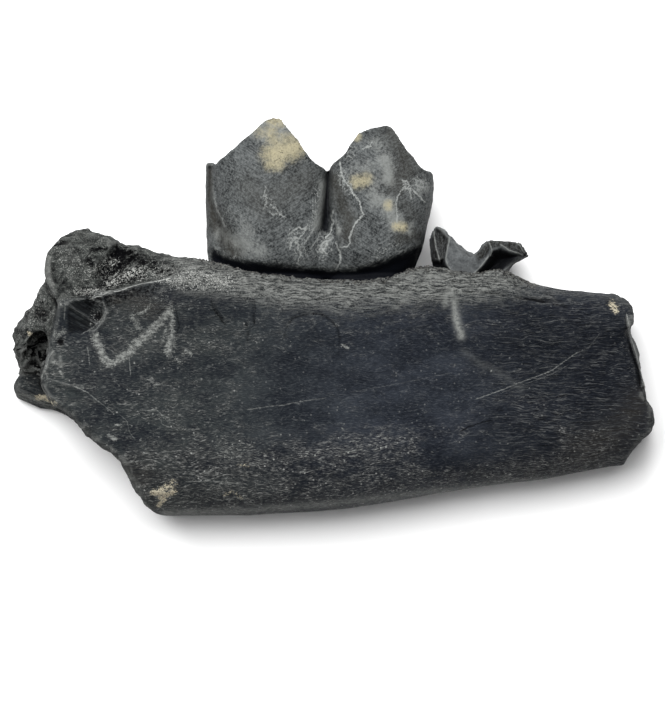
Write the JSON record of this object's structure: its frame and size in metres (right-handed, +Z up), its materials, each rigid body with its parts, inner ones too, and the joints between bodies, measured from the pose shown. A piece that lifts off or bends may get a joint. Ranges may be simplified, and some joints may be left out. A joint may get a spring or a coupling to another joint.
{
  "type": "fossil llama jaw",
  "caption": "Dark fossil section of a lower jaw bone, broken at both ends, lying on its side with a tall two-lobed cheek tooth and the jagged stump of its neighbour.",
  "frame": {"origin": "middle of the overall box, on the plane the cheek side rests on", "axes": "+X along the jaw from its spongy hind break to its front break, +Y from the lower edge of the bone to the tooth crowns, +Z up, away from the resting side"},
  "size_m": [0.074, 0.046, 0.0161],
  "materials": {
    "mandible": "dark blue-grey mineralised bone, satin, rough where it is broken",
    "molar": "grey fossil enamel with cream stains and fine pale veins",
    "broken_molar": "dark grey fossil enamel and dentine, dull on the breaks"
  },
  "bodies": {
    "root": {"mandible": "mandible", "molar": "molar", "broken_molar": "broken_molar"}
  },
  "joints": []
}
